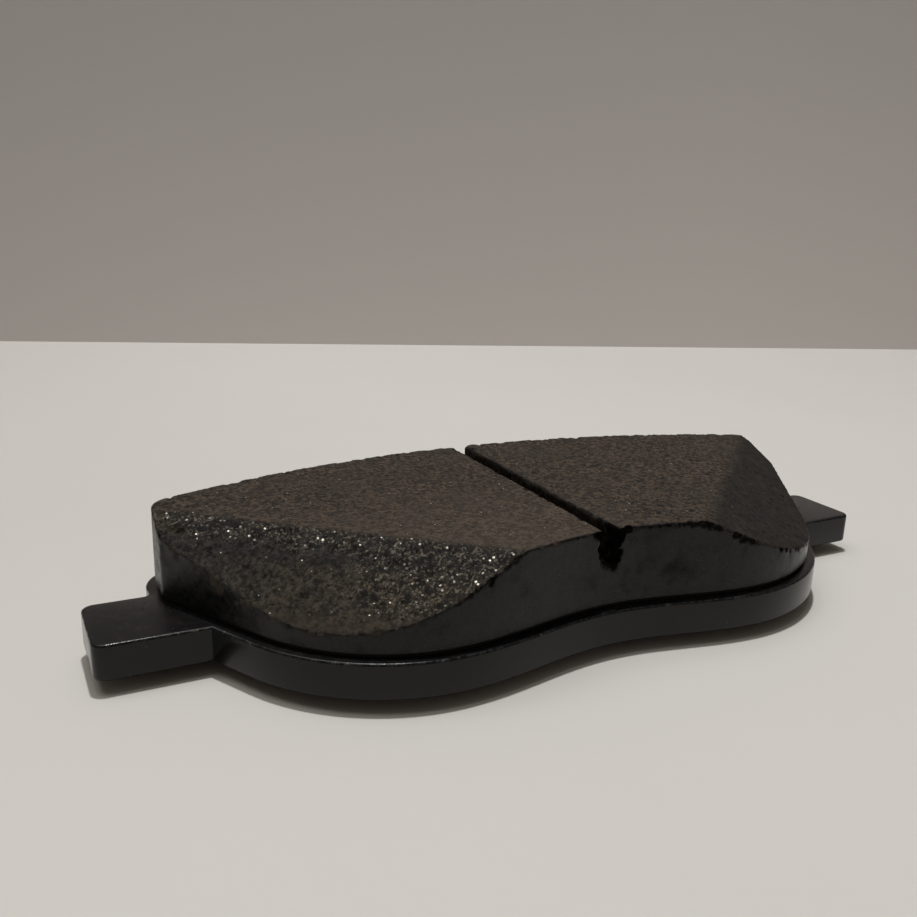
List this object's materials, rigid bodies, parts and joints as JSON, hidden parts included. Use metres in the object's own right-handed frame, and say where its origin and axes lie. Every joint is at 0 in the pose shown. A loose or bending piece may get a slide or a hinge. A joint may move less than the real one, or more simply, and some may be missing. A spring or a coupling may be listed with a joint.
{
  "type": "disc brake pad",
  "caption": "Disc brake pad: a steel backing plate with side tabs, a slotted and chamfered friction block on its face, and a riveted anti-noise shim on its back.",
  "frame": {"origin": "centre of the part's box at the level of the rivet heads, on which the pad lies", "axes": "+X along the pad from tab to tab, +Y towards the disc's rim (outer edge of the pad), +Z out of the rubbing face"},
  "size_m": [0.138, 0.055, 0.0195],
  "materials": {
    "plate_paint": "satin black paint with small worn specks along the edges",
    "bonding_film": "cured dark adhesive, matte",
    "underlayer": "dense moulded compound, black painted sides",
    "friction_compound": "matte brown-grey moulded compound with bright metal flecks and dark pits",
    "damping_rubber": "matte black rubber",
    "shim_steel": "dark coated steel sheet, satin",
    "rivet_steel": "plain steel, slightly dulled"
  },
  "bodies": {
    "root": {"backing_plate": "plate_paint", "bonding_film": "bonding_film", "underlayer": "underlayer", "friction_block": "friction_compound", "shim_damping_layer": "damping_rubber", "shim_steel": "shim_steel", "shim_rivet_1": "rivet_steel", "shim_rivet_2": "rivet_steel", "shim_rivet_3": "rivet_steel", "shim_rivet_4": "rivet_steel"}
  },
  "joints": []
}
